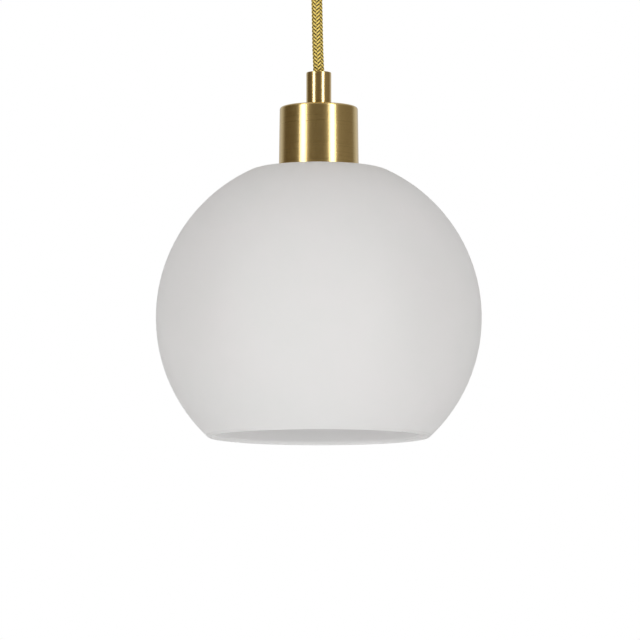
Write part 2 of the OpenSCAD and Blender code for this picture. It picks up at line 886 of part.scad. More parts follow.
module bulb_driver() {
    height = 22;
    top = z_housing - 4;
    color([0.10, 0.35, 0.18]) translate([-8, -0.8, top - height]) cube([16, 1.6, height]);
    color(black_plastic) {
        translate([-5, 0.8, top - height + 3]) cube([8, 5, 7]);
        translate([-6, -4.8, top - height + 12]) cube([7, 4, 6]);
    }
}

module bulb_led_board() {
    color(steel) bar(2 * led_board_r, z_bulb_joint - led_board_t, z_bulb_joint);
}

module bulb_leds() {
    size = [3, 3, 0.8];
    color([0.95, 0.85, 0.35])
        for (k = [0 : led_count - 1])
            rotate([0, 0, 360 * k / led_count])
                translate([led_ring_r - size[0] / 2, -size[1] / 2, z_bulb_joint - led_board_t - size[2]])
                    cube(size);
}

module bulb_globe() {
    color(opal) translate([0, 0, z_bulb]) rotate_extrude() difference() {
        circle(r = bulb_r);
        circle(r = bulb_r - bulb_wall);
        translate([-2 * bulb_r, -bulb_r]) square([2 * bulb_r, 2 * bulb_r]);
        translate([0, z_bulb_joint - z_bulb]) square([bulb_r, bulb_r]);
    }
}

ceiling_bracket();
canopy();
canopy_screws();
canopy_grip();
canopy_grip_screw();
canopy_nipple();
canopy_washer();
canopy_nut();
cord_clamp();
clamp_screw();
terminal_block();
terminal_tubes();
terminal_screws();
block_screw();
earth_screw();
earth_lug();
canopy_live_core();
canopy_neutral_core();
canopy_earth_core();
canopy_cord_end();
cord();
lamp_grip();
lamp_grip_screw();
lamp_nipple();
cup();
earth_tag();
cup_washer();
cup_nut();
holder_dome();
holder_insert();
holder_terminals();
holder_screws();
holder_rivets();
holder_skirt();
screw_shell();
centre_contact();
lamp_live_core();
lamp_neutral_core();
lamp_earth_core();
lamp_cord_end();
glass_globe();
cup_gasket();
ring_gasket();
shade_ring();
bulb_tip();
bulb_insulator();
bulb_cap();
bulb_housing();
bulb_driver();
bulb_led_board();
bulb_leds();
bulb_globe();
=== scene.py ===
"""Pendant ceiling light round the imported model: braided cord, brushed brass, opal glass and lamp."""

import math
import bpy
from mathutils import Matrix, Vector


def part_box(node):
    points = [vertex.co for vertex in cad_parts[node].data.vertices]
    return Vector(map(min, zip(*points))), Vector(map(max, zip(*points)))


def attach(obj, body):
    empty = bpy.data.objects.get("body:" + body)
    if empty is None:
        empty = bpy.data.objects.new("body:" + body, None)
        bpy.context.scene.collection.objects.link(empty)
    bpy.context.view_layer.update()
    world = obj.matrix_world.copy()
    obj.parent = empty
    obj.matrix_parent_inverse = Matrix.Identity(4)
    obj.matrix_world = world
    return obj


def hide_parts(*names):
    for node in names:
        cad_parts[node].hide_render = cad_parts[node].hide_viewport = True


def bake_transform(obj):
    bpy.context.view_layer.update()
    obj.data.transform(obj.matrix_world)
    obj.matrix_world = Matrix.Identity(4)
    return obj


bl_info = {
    "name": "Pendant Ceiling Light",
    "version": (1, 0, 0),
    "blender": (4, 5, 0),
    "location": "3D View > Sidebar > Pendant",
    "description": "Makes the finishes and fine pieces of a pendant light with a braided cord and a glass globe",
    "category": "Object",
}

import bmesh
import bpy
import numpy as np
from bpy.props import FloatProperty, FloatVectorProperty, IntProperty, PointerProperty
from mathutils import Vector

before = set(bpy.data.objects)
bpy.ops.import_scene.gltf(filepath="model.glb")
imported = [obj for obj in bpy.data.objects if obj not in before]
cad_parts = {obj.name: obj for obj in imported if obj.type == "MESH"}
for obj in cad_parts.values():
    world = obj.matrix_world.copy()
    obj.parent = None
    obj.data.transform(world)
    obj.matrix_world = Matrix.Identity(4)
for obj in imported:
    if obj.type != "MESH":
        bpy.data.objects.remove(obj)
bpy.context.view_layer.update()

MM = 0.001
TURN = 2 * math.pi
GLOBE_LOW, GLOBE_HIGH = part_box("glass_globe")
CORD_LOW, CORD_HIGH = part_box("cord")
CANOPY_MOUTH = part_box("canopy_grip")[0].z
LAMP_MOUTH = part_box("lamp_grip")[1].z

# How the lights and the floor are laid out, in metres
LIGHT_REACH = 1.5
FLOOR_HALF = 12

# How a strand of the braid lies, in strand heights: its seat below the outside of the cord, how far
# it rises and dips, and the filler's skin below the seat
SEAT = 1.25
WEAVE = 0.55
FILLER_DEPTH = 1.05
# How abruptly a strand changes from over to under
SNAP = 2.2
# A strand's section: how far its back lies below its seat, and how much of its crown is yarns
BACK = 0.3
YARNS = 0.18

# Distances along the cord between a strand's rings, and how near to the skin a thread starts
RING_STEP = 0.4 * MM
SKIN = 0.02 * MM
THREAD_CREASE = math.radians(50)

# The cord's route below the canopy's mouth, in millimetres
CORD_ROUTE = [
    (0, 2), (0, 0), (-0.3, -4), (-0.8, -9), (-1.1, -14), (-1.2, -19), (-1.1, -24), (-1, -29),
    (-0.9, -34), (-0.8, -39), (-0.7, -44), (-0.6, -49), (-0.4, -54), (-0.2, -59), (0, -64), (0, -66),
]


# ---- Sizes and colours ----


def size(name, description, default, **more):
    return FloatProperty(
        name=name, description=description, default=default, unit="LENGTH", precision=5, **more
    )


def share(name, description, default, **more):
    return FloatProperty(name=name, description=description, default=default, min=0, max=1, **more)


def colour(name, description, default):
    return FloatVectorProperty(
        name=name, description=description, default=default, subtype="COLOR", min=0, max=1
    )


class StageSettings(bpy.types.PropertyGroup):
    """Camera, lights and floor."""

    camera_place: FloatVectorProperty(
        name="Camera", description="Where the camera stands", default=(0.00074, -2.75, -0.544),
        subtype="TRANSLATION", unit="LENGTH",
    )
    camera_pitch: FloatProperty(
        name="Pitch", description="How far the camera looks up", default=0.0995,
        subtype="ANGLE", unit="ROTATION",
    )
    lens: FloatProperty(
        name="Lens", description="Focal length of the camera in millimetres", default=253.2
    )
    floor_z: size("Floor", "Height of the floor below the ceiling", -2.4)
    strip_glow: FloatProperty(
        name="Strip glow", description="Brightness of the tall side lights", default=4.6
    )
    low_glow: FloatProperty(
        name="Low glow", description="Brightness of the box under the lamp", default=0.68
    )
    back_glow: FloatProperty(
        name="Back glow", description="Brightness of the wall behind, as the lamp sees it", default=0.47
    )
    fill: FloatProperty(
        name="Fill", description="Brightness of the room in front of the lamp", default=0.092
    )
    room_colour: colour("Room", "Tint of the room in front of the lamp", (1.0, 0.74, 0.39))


class CordSettings(bpy.types.PropertyGroup):
    """The braided cord."""

    diameter: size("Diameter", "Diameter over the braid", 0.007)
    carriers: IntProperty(
        name="Carriers", description="Strands that wind each way", default=8, min=4
    )
    lay: size("Lay", "Height of one turn of a strand", 0.019)
    strand_width: size("Strand width", "Width of a strand", 0.00128)
    strand_height: size("Strand height", "Height of a strand over its flat back", 0.0005)
    # The yarn's lit colour and its painted shade: the material paints the first on the strands' crowns as a
    # highlight and the second at their edges and where they dive under.
    gold: colour("Gold", "Colour of the yarn in the light", (0.93, 0.70, 0.14))
    shade: colour("Shade", "Colour of the yarn between the strands", (0.12, 0.085, 0.014))


class BrassSettings(bpy.types.PropertyGroup):
    """Brushed and polished brass."""

    pale: colour("Pale brass", "Lighter tone of the brushed brass", (0.83, 0.635, 0.29))
    deep: colour("Deep brass", "Darker tone of the brushed brass", (0.77, 0.57, 0.235))
    roughness: share("Roughness", "Roughness of the brushed brass", 0.29)
    brushing: share("Brushing", "Strength of the brushed rings", 0.15)


class GlassSettings(bpy.types.PropertyGroup):
    """The opal glass."""

    white: colour("White", "Colour of the opal glass", (0.94, 0.935, 0.94))
    glow: share("Glow", "Share of light that the glass lets through", 0.6)


# ---- Node tools ----


class Value:
    """A shader socket in a Python expression. Each operation adds its Math node."""

    def __init__(self, tree, socket):
        self.tree = tree
        self.socket = socket

    def maths(self, operation, *values):
        inputs = dict(enumerate(values))
        return self.tree.add("ShaderNodeMath", {"operation": operation}, inputs)

    def __add__(self, other):
        return self.maths("ADD", self, other)

    def __radd__(self, other):
        return self.maths("ADD", other, self)

    def __sub__(self, other):
        return self.maths("SUBTRACT", self, other)

    def __rsub__(self, other):
        return self.maths("SUBTRACT", other, self)

    def __mul__(self, other):
        return self.maths("MULTIPLY", self, other)

    def __rmul__(self, other):
        return self.maths("MULTIPLY", other, self)

    def __pow__(self, other):
        return self.maths("POWER", self, other)


class Tree:
    """A node tree under construction."""

    def __init__(self, tree):
        self.tree = tree
        tree.nodes.clear()

    def add(self, kind, settings=None, inputs=None, output=0):
        """Adds a node: its settings first, then the values or links of its sockets."""
        node = self.tree.nodes.new(kind)
        for key, value in (settings or {}).items():
            setattr(node, key, value)
        for key, value in (inputs or {}).items():
            if isinstance(value, Value):
                self.tree.links.new(value.socket, node.inputs[key])
            else:
                node.inputs[key].default_value = value
        return Value(self, node.outputs[output]) if len(node.outputs) else None

    def object_point(self):
        return self.add("ShaderNodeTexCoord", output="Object")

    def axes(self, vector):
        node = self.add("ShaderNodeSeparateXYZ", inputs={0: vector}).socket.node
        return [Value(self, output) for output in node.outputs]

    def point(self, x, y, z):
        return self.add("ShaderNodeCombineXYZ", inputs={0: x, 1: y, 2: z})

    def noise(self, vector, scale, detail=2, roughness=0.5):
        inputs = {"Vector": vector, "Scale": scale, "Detail": detail, "Roughness": roughness}
        return self.add("ShaderNodeTexNoise", inputs=inputs)

    def cell_edges(self, vector, scale):
        """Distance to the nearest edge between irregular cells."""
        inputs = {"Vector": vector, "Scale": scale}
        return self.add("ShaderNodeTexVoronoi", {"feature": "DISTANCE_TO_EDGE"}, inputs, "Distance")

    def mix(self, factor, first, second, blend="MIX"):
        """A mix of two colours."""
        sides = [side if isinstance(side, Value) else (*side, 1) for side in (first, second)]
        return self.add(
            "ShaderNodeMix", {"data_type": "RGBA", "blend_type": blend},
            {0: factor, 6: sides[0], 7: sides[1]}, 2,
        )

    def spread(self, value, low, high, to_low=0.0, to_high=1.0):
        """Maps low..high to to_low..to_high, held at both ends."""
        return self.add(
            "ShaderNodeMapRange", {"clamp": True},
            {"Value": value, "From Min": low, "From Max": high, "To Min": to_low, "To Max": to_high},
        )

    def bump(self, height, strength, distance, under=None):
        inputs = {"Height": height, "Strength": strength, "Distance": distance}
        if under is not None:
            inputs["Normal"] = under
        return self.add("ShaderNodeBump", inputs=inputs)


def material(name):
    made = bpy.data.materials.new(name)
    made.use_nodes = True
    return made, Tree(made.node_tree)


def finish_surface(tree, **sockets):
    """The Principled surface and its output."""
    inputs = {key.replace("_", " "): value for key, value in sockets.items()}
    surface = tree.add("ShaderNodeBsdfPrincipled", inputs=inputs)
    tree.add("ShaderNodeOutputMaterial", inputs={"Surface": surface})
    return surface


def wear(*nodes, finish):
    """Gives CAD nodes a finish."""
    for name in nodes:
        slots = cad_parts[name].data.materials
        slots.clear()
        slots.append(finish)


# ---- Finishes ----


def ring_distance(tree):
    """Distance along a turned piece's skin, outwards and downwards: equal distances are rings."""
    x, y, z = tree.axes(tree.object_point())
    return x, y, (x * x + y * y) ** 0.5 - z


def brushed_brass(settings):
    made, tree = material("brushed_brass")
    x, y, along = ring_distance(tree)
    fine = tree.noise(tree.point(x * 9, y * 9, along * 6500), 1, 3, 0.6)
    broad = tree.noise(tree.point(x * 5, y * 5, along * 1400), 1, 2)
    cloud = tree.noise(tree.object_point(), 60, 3)
    tone = tree.mix(fine * 0.7 + broad * 0.3, settings.deep, settings.pale)
    tone = tree.mix(tree.spread(cloud, 0.35, 0.7, 0, 0.25), tone, settings.deep)
    rough = tree.spread(fine * 0.6 + broad * 0.4, 0.3, 0.7, settings.roughness - 0.04,
                        settings.roughness + 0.06)
    finish_surface(
        tree, Base_Color=tone, Metallic=1.0, Roughness=rough, Anisotropic=0.85,
        Anisotropic_Rotation=0.25, Coat_Weight=0.3, Coat_Roughness=0.2,
        Normal=tree.bump(fine, settings.brushing, 0.00002),
    )
    return made


def plain_metal(name, pale, deep, roughness, grain=900):
    """A metal with cloudy tone, fine scratches and a slightly uneven skin."""
    made, tree = material(name)
    point = tree.object_point()
    cloud = tree.noise(point, grain / 3, 3)
    scratch = tree.noise(point, grain * 3, 4, 0.7)
    finish_surface(
        tree, Base_Color=tree.mix(tree.spread(cloud, 0.3, 0.7), deep, pale), Metallic=1.0,
        Roughness=tree.spread(scratch, 0.3, 0.7, roughness - 0.06, roughness + 0.12),
        Normal=tree.bump(scratch, 0.12, 0.00004),
    )
    return made


def opal_glass(settings):
    """Acid-etched white glass: a fine satin skin over a milky body that lets some light through."""
    made, tree = material("opal_glass")
    point = tree.object_point()
    etch = tree.noise(point, 2600, 4, 0.65)
    height = tree.axes(point)[2]
    rim = tree.spread(height, GLOBE_LOW.z + 0.0012, GLOBE_LOW.z + 0.003, 1, 0)
    cloud = tree.noise(point, 22, 2)
    flow = tree.noise(point, 70, 3)
    white = tuple(settings.white)
    cool = (white[0] * 0.965, white[1] * 0.985, white[2] * 0.975)
    tone = tree.mix(tree.spread(cloud * 0.6 + flow * 0.4, 0.35, 0.65), cool, white)
    skin = tree.add("ShaderNodeBsdfPrincipled", inputs={
        "Base Color": tone, "Roughness": tree.spread(etch, 0.3, 0.7, 0.42, 0.58) - rim * 0.28,
        "IOR": 1.5, "Specular IOR Level": 0.35,
        "Normal": tree.bump(etch, 0.1, 0.00003, tree.bump(flow, 0.05, 0.0003)),
    })
    through = tree.add("ShaderNodeBsdfTranslucent", inputs={"Color": (*white, 1)})
    both = tree.add("ShaderNodeMixShader", inputs={0: settings.glow, 1: skin, 2: through})
    tree.add("ShaderNodeOutputMaterial", inputs={"Surface": both})
    return made


def moulded(name, base, roughness, speckle=0.06, grain=1500, **more):
    """Moulded plastic, resin or rubber: faint flow tones, a fine grain and an uneven gloss."""
    made, tree = material(name)
    point = tree.object_point()
    grain_noise = tree.noise(point, grain, 3)
    flow = tree.noise(point, 90, 3)
    base = tuple(base)
    pale = tuple(c + (1 - c) * speckle for c in base)
    finish_surface(
        tree, Base_Color=tree.mix(tree.spread(flow, 0.3, 0.7), base, pale),
        Roughness=tree.spread(grain_noise + flow * 0.4, 0.4, 1.0, roughness - 0.06, roughness + 0.1),
        Normal=tree.bump(grain_noise, 0.15, 0.00006), **more,
    )
    return made


def earth_sleeve(name, axis):
    """Green sleeve with a yellow stripe down both sides, where its skin looks along the axis."""
    made, tree = material(name)
    normal = tree.add("ShaderNodeTexCoord", output="Normal")
    looks = tree.add("ShaderNodeVectorMath", {"operation": "DOT_PRODUCT"}, {0: normal, 1: axis}, 1)
    grain = tree.noise(tree.object_point(), 1500, 3)
    stripe = tree.spread(looks * looks + grain * 0.04, 0.38, 0.44)
    finish_surface(
        tree, Base_Color=tree.mix(stripe, (0.03, 0.30, 0.06), (0.85, 0.68, 0.03)),
        Roughness=tree.spread(grain, 0.3, 0.7, 0.34, 0.5), Normal=tree.bump(grain, 0.15, 0.00005),
    )
    return made


def board(name, mask, trace):
    """Circuit board: solder mask with the tracks under it showing as paler lines."""
    made, tree = material(name)
    point = tree.object_point()
    track = tree.spread(tree.cell_edges(point, 330), 0.05, 0.09, 1, 0)
    grain = tree.noise(point, 1800, 3)
    finish_surface(
        tree, Base_Color=tree.mix(track, mask, trace),
        Roughness=tree.spread(grain, 0.3, 0.7, 0.3, 0.45), Coat_Weight=0.4, Coat_Roughness=0.15,
        Normal=tree.bump(track + grain * 0.1, 0.3, 0.00005),
    )
    return made


def yarn(settings):
    """Rayon yarn: filaments along the strand, with a painted highlight on its crown and painted shade towards
    its edges and where it dives under.
    """
    made, tree = material("braid")
    across, along, _ = tree.axes(tree.add("ShaderNodeTexCoord", output="UV"))
    filament = tree.noise(tree.point(across * 26, along * 0.55, 0), 1, 2, 0.6)
    slub = tree.noise(tree.point(across * 3, along * 0.5, 3), 1, 2)
    # Painted light: a strand is painted bright on its crown and dark towards its edges and where the weave's
    # lift takes it under, standing for highlight and shade.
    lift = tree.add("ShaderNodeAttribute", {"attribute_name": "lift"}, output="Fac")
    crown = (1 - (across * 2 - 1) ** 2) * (0.3 + lift * 0.7)
    light = tree.spread(crown * 0.8 + filament * 0.2 + slub * 0.15, 0.35, 0.95)
    finish_surface(
        tree, Base_Color=tree.mix(light, settings.shade, settings.gold),
        Roughness=tree.spread(filament, 0.3, 0.7, 0.34, 0.5), Metallic=0.0,
        Sheen_Weight=0.12, Sheen_Roughness=0.4, Specular_IOR_Level=0.7,
        Normal=tree.bump(filament, 0.5, 0.00004),
    )
    return made


# ---- Shapes ----


def mesh_piece(name, points, faces, finish, uvs=None, lifts=None):
    """A smooth mesh with a finish, and what its material reads at its points."""
    mesh = bpy.data.meshes.new(name)
    mesh.from_pydata([tuple(p) for p in points], [], faces)
    if uvs is not None:
        layer = mesh.uv_layers.new(name="UVMap")
        corner = np.empty(len(mesh.loops), np.int32)
        mesh.loops.foreach_get("vertex_index", corner)
        layer.data.foreach_set("uv", np.asarray(uvs, np.float32)[corner].ravel())
    if lifts is not None:
        layer = mesh.attributes.new("lift", "FLOAT", "POINT")
        layer.data.foreach_set("value", np.asarray(lifts, np.float32))
    mesh.materials.append(finish)
    mesh.shade_smooth()
    piece = bpy.data.objects.new(name, mesh)
    bpy.context.scene.collection.objects.link(piece)
    return piece


def grid_faces(rows, columns, first=0):
    """Faces between rows of points that close round each row."""
    faces = []
    for i in range(rows - 1):
        for k in range(columns):
            n = (k + 1) % columns
            a, b = first + i * columns, first + (i + 1) * columns
            faces.append((a + k, a + n, b + n, b + k))
    return faces


def capped_faces(rows, columns, first=0):
    """The same with both ends closed."""
    low = tuple(first + k for k in reversed(range(columns)))
    high = tuple(first + (rows - 1) * columns + k for k in range(columns))
    return [*grid_faces(rows, columns, first), low, high]


class Route:
    """A smooth line in the XZ plane, by height: where it is and which way it heads."""

    def __init__(self, points):
        points = np.array(sorted(points, key=lambda p: p[1]), float)
        self.z = points[:, 1]
        self.x = points[:, 0]
        self.slope = np.gradient(self.x, self.z)

    def at(self, z):
        """Offset and slope at a height, on a smooth curve through the points."""
        z = np.asarray(z, float)
        i = np.clip(np.searchsorted(self.z, z) - 1, 0, len(self.z) - 2)
        h = self.z[i + 1] - self.z[i]
        t = (z - self.z[i]) / h
        a, b, m, n = self.x[i], self.x[i + 1], self.slope[i] * h, self.slope[i + 1] * h
        x = (2 * t**3 - 3 * t**2 + 1) * a + (t**3 - 2 * t**2 + t) * m
        x = x + (3 * t**2 - 2 * t**3) * b + (t**3 - t**2) * n
        slope = np.interp(z, self.z, self.slope)
        return x, slope

    def place(self, z, radius, angle):
        """The point at that radius and angle round the line, on the plane square to it at height z."""
        x, slope = self.at(z)
        length = np.sqrt(1 + slope * slope)
        side = radius * np.cos(angle)
        return np.stack(
            [x + side / length, radius * np.sin(angle), z - side * slope / length], axis=-1
        )


def strand_section(width, height):
    """Half-round ribbon of three yarns with a flat back: [(across, up)] with across from -1 to 1."""
    top = []
    for u in np.linspace(-1, 1, 9):
        crown = math.sqrt(max(0.0, 1 - (0.96 * u) ** 2))
        yarns = 0.5 + 0.5 * math.cos(3 * math.pi * u)
        top.append((u * width / 2, height * (crown * (1 - YARNS) + YARNS * yarns - BACK)))
    back = [(u * width / 2, -BACK * height) for u in (0.7, 0, -0.7)]
    return top + back


def trim(piece, z_low, z_high):
    """Cuts a piece level at two heights and closes the cuts."""
    shape = bmesh.new()
    shape.from_mesh(piece.data)
    for z, outward in ((z_low, -1), (z_high, 1)):
        cut = bmesh.ops.bisect_plane(
            shape, geom=[*shape.verts, *shape.edges, *shape.faces], plane_co=(0, 0, z),
            plane_no=(0, 0, outward), clear_outer=True,
        )
        edges = [edge for edge in cut["geom_cut"] if isinstance(edge, bmesh.types.BMEdge)]
        for face in bmesh.ops.holes_fill(shape, edges=edges)["faces"]:
            face.smooth = False
    shape.to_mesh(piece.data)
    shape.free()


def braid(name, route, z_low, z_high, settings, finish, core_finish):
    """The braid between two heights, over its dark filler: the filler stands for the cord's core, and its
    near-black colour is painted shade in the gaps between the strands.
    """
    radius, count, lay = settings.diameter / 2, settings.carriers, settings.lay
    section = strand_section(settings.strand_width, settings.strand_height)
    lift = settings.strand_height
    middle_r = radius - SEAT * lift
    first_ring, last_ring = math.floor(z_low / RING_STEP) - 3, math.ceil(z_high / RING_STEP) + 3
    heights = np.arange(first_ring, last_ring + 1) * RING_STEP
    slope = TURN * middle_r / lay
    lean = math.hypot(1, slope)
    cells = heights / lay * 2 * count
    points, uvs, lifts, faces = [], [], [], []
    for way in (1, -1):
        for k in range(count):
            phase = cells + 2 * k - 0.5 if way > 0 else 2 * k - cells - 2.5
            weave = np.tanh(SNAP * np.cos(TURN * phase / 4))
            first = len(points)
            rings = []
            for across, up in section:
                turn = way * TURN * heights / lay + TURN * k / count
                turn = turn + across / lean / middle_r
                z = heights - way * across * slope / lean
                rings.append(route.place(z, middle_r + WEAVE * lift * weave + up, turn))
            rings = np.stack(rings, axis=1)
            points.extend(rings.reshape(-1, 3))
            for h in heights:
                uvs.extend((0.5 + across / settings.strand_width, h / MM) for across, _ in section)
            # The strand's rise in the weave, which the yarn's material reads to paint shade where the strand
            # dives under.
            lifts.extend(np.repeat(0.5 + 0.5 * weave, len(section)))
            faces.extend(capped_faces(len(heights), len(section), first))
    piece = mesh_piece(name, points, faces, finish, uvs, lifts)
    trim(piece, z_low, z_high)
    filler_r = middle_r - FILLER_DEPTH * lift
    sides = 24
    filler = [
        route.place(z, filler_r, TURN * k / sides)
        for z in np.linspace(z_low, z_high, max(4, len(heights) // 6)) for k in range(sides)
    ]
    filler_piece = mesh_piece(
        name + "_filler", filler, capped_faces(len(filler) // sides, sides), core_finish
    )
    return join(piece, filler_piece)


def join(piece, *others):
    """One mesh from several, with their finishes."""
    with bpy.context.temp_override(
        active_object=piece, selected_editable_objects=[piece, *others]
    ):
        bpy.ops.object.join()
    return piece


def threaded(node, body, pitch, depth, cuts=8):
    """A CAD piece again, with a rounded screw thread cut into the widest part of its skin."""
    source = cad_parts[node]
    radius = (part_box(node)[1].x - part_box(node)[0].x) / 2
    shape = bmesh.new()
    shape.from_mesh(source.data)
    shape.transform(source.matrix_world)

    def on_skin(vert):
        return abs(math.hypot(vert.co.x, vert.co.y) - radius) < SKIN

    heights = [vert.co.z for vert in shape.verts if on_skin(vert)]
    low, high = min(heights), max(heights)
    for z in np.arange(low, high, pitch / cuts):
        geometry = [*shape.verts, *shape.edges, *shape.faces]
        bmesh.ops.bisect_plane(shape, geom=geometry, plane_co=(0, 0, z), plane_no=(0, 0, 1))
    for vert in filter(on_skin, shape.verts):
        x, y, z = vert.co
        turn = z / pitch - math.atan2(y, x) / TURN
        run_in = max(0, min(1, (z - low) / pitch, (high - z) / pitch))
        scale = 1 - depth * run_in * (0.5 - 0.5 * math.cos(TURN * turn)) / radius
        vert.co.x, vert.co.y = x * scale, y * scale
    mesh = bpy.data.meshes.new(node + "_threaded")
    shape.to_mesh(mesh)
    shape.free()
    mesh.materials.append(source.data.materials[0])
    mesh.shade_smooth()
    mesh.set_sharp_from_angle(angle=THREAD_CREASE)
    piece = bpy.data.objects.new(mesh.name, mesh)
    bpy.context.scene.collection.objects.link(piece)
    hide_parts(node)
    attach(piece, body)


# ---- Pieces ----


class PENDANT_OT_stage(bpy.types.Operator):
    """Set up the camera, the lights and the floor"""

    bl_idname = "pendant.stage"
    bl_label = "Stage"

    def execute(self, context):
        settings = context.scene.pendant_stage
        scene = context.scene
        camera_data = bpy.data.cameras.new("camera")
        camera_data.lens = settings.lens
        camera_data.sensor_width = 36
        camera_data.clip_end = 50
        camera = bpy.data.objects.new("camera", camera_data)
        camera.location = settings.camera_place
        camera.rotation_euler = (math.pi / 2 + settings.camera_pitch, 0, 0)
        scene.collection.objects.link(camera)
        scene.camera = camera
        scene.view_settings.view_transform = "Standard"
        self.lights(settings)
        self.floor(settings)
        self.world(settings)
        return {"FINISHED"}

    def lights(self, settings):
        """Two tall strips beside the camera, and a soft box under the lamp."""
        middle = Vector((0, 0, (GLOBE_LOW.z + GLOBE_HIGH.z) / 2))
        for name, turn, rise, width, height, glow in (
            ("strip_left", -47, 0, 0.45, 3.0, settings.strip_glow),
            ("strip_right", 40.5, 0, 0.42, 3.0, settings.strip_glow * 1.1),
            ("low_box", 0, -89, 1.6, 1.6, settings.low_glow),
        ):
            turn, rise = math.radians(turn), math.radians(rise)
            level = math.cos(rise)
            away = Vector((math.sin(turn) * level, -math.cos(turn) * level, math.sin(rise)))
            self.area(name, middle + away * LIGHT_REACH, middle, width, height, glow)

    def area(self, name, place, aim, width, height, glow):
        data = bpy.data.lights.new(name, "AREA")
        data.shape = "RECTANGLE"
        data.size, data.size_y, data.energy = width, height, glow * math.pi * width * height
        light = bpy.data.objects.new(name, data)
        light.location = place
        light.rotation_euler = (place - aim).to_track_quat("Z", "Y").to_euler()
        light.visible_camera = False
        bpy.context.scene.collection.objects.link(light)

    def floor(self, settings):
        made, tree = material("floor_paint")
        cloud = tree.noise(tree.object_point(), 3, 3)
        paint = tree.add("ShaderNodeBsdfPrincipled", inputs={
            "Base Color": tree.mix(cloud, (0.88, 0.88, 0.87), (0.92, 0.92, 0.91)),
            "Roughness": 0.9,
        })
        clear = tree.add("ShaderNodeBsdfTransparent")
        under = tree.add("ShaderNodeNewGeometry", output="Backfacing")
        both = tree.add("ShaderNodeMixShader", inputs={0: under, 1: paint, 2: clear})
        tree.add("ShaderNodeOutputMaterial", inputs={"Surface": both})
        corners = [(-FLOOR_HALF, -FLOOR_HALF), (FLOOR_HALF, -FLOOR_HALF),
                   (FLOOR_HALF, FLOOR_HALF), (-FLOOR_HALF, FLOOR_HALF)]
        mesh_piece(
            "floor", [(x, y, settings.floor_z) for x, y in corners], [(0, 1, 2, 3)], made
        )

    def world(self, settings):
        """White to the eye. What the lamp sees is a dim room in front, and a white wall behind and above."""
        world = bpy.data.worlds.new("studio")
        world.use_nodes = True
        bpy.context.scene.world = world
        tree = Tree(world.node_tree)
        x, y, z = tree.axes(tree.add("ShaderNodeTexCoord", output="Generated"))
        behind = tree.spread(y, 0.45, 0.75, 0, settings.back_glow)
        right = tree.spread(x, 0.2, 0.9, 0, 0.1)
        below = tree.spread(z, -0.2, -0.8, 0, 0.35)
        above = tree.spread(z, 0.4, 0.85, 0, 0.4)
        white = behind + right + below + above
        seen = tree.add("ShaderNodeLightPath", output="Is Camera Ray")
        tint = tree.mix(tree.spread(white, 0, 0.25), settings.room_colour, (1, 1, 1))
        shine = tree.add("ShaderNodeBackground", inputs={
            "Color": tree.mix(seen, tint, (1, 1, 1)),
            "Strength": seen + (1 - seen) * (white + settings.fill),
        })
        tree.add("ShaderNodeOutputWorld", inputs={"Surface": shine})


class PENDANT_OT_cord(bpy.types.Operator):
    """Braid the cord and lay it along its route"""

    bl_idname = "pendant.cord"
    bl_label = "Cord"

    split_below_mouth: size("Split", "Height above the lamp's grip where the two braids meet", 0.004)

    def execute(self, context):
        settings = context.scene.pendant_cord
        finish = yarn(settings)
        # The filler stands for the cord's core under the braid; its near-black colour is painted shade where the
        # gaps between the strands show it.
        filler = moulded("filler", (0.035, 0.025, 0.006), 0.7)
        route = Route([(x * MM, CANOPY_MOUTH + z * MM) for x, z in CORD_ROUTE])
        split = LAMP_MOUTH + self.split_below_mouth
        upper = braid("cord_braid", route, split, CORD_HIGH.z, settings, finish, filler)
        lower = braid("cord_braid_end", route, CORD_LOW.z, split, settings, finish, filler)
        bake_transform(upper)
        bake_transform(lower)
        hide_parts("cord")
        line = np.linspace(CORD_HIGH.z, split, 33)
        path = [(x, 0, z) for x, z in zip(route.at(line)[0], line)]
        self.ends(settings, finish, filler)
        return {"FINISHED"}

    def ends(self, settings, finish, filler):
        """The lengths held inside the canopy and the lampholder."""
        for node, body in (("canopy_cord_end", "ceiling_fitting"), ("lamp_cord_end", "lamp_body")):
            low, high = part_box(node)
            route = Route([(0, low.z - 0.01), (0, high.z + 0.01)])
            piece = braid(node + "_braid", route, low.z, high.z, settings, finish, filler)
            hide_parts(node)
            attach(piece, body)


class PENDANT_OT_brass(bpy.types.Operator):
    """Finish the canopy, the grips and the cup in brushed brass"""

    bl_idname = "pendant.brass"
    bl_label = "Brass"

    def execute(self, context):
        finish = brushed_brass(context.scene.pendant_brass)
        wear("canopy", "canopy_grip", "lamp_grip", "cup", finish=finish)
        return {"FINISHED"}


class PENDANT_OT_fixings(bpy.types.Operator):
    """Finish the bracket, the screws, the nuts and the nipples"""

    bl_idname = "pendant.fixings"
    bl_label = "Fixings"

    pitch: size("Pitch", "Pitch of the nipples' thread", 0.001)
    depth: size("Depth", "Depth of the nipples' thread", 0.00055)

    def execute(self, context):
        zinc = plain_metal("zinc_steel", (0.68, 0.69, 0.71), (0.52, 0.54, 0.57), 0.3)
        brass = plain_metal("polished_brass", (0.86, 0.68, 0.36), (0.74, 0.54, 0.24), 0.18)
        nylon = moulded("white_nylon", (0.80, 0.80, 0.78), 0.4)
        wear(
            "ceiling_bracket", "canopy_grip_screw", "canopy_nipple", "canopy_washer", "canopy_nut",
            "clamp_screw", "terminal_screws", "block_screw", "lamp_grip_screw", "lamp_nipple",
            "cup_washer", "cup_nut", "holder_screws", finish=zinc,
        )
        wear(
            "canopy_screws", "terminal_tubes", "earth_screw", "earth_lug", "earth_tag",
            "holder_terminals", "holder_rivets", "screw_shell", "centre_contact", finish=brass,
        )
        wear("cord_clamp", "terminal_block", finish=nylon)
        threaded("canopy_nipple", "ceiling_fitting", self.pitch, self.depth, 6)
        threaded("lamp_nipple", "lamp_body", self.pitch, self.depth, 6)
        return {"FINISHED"}


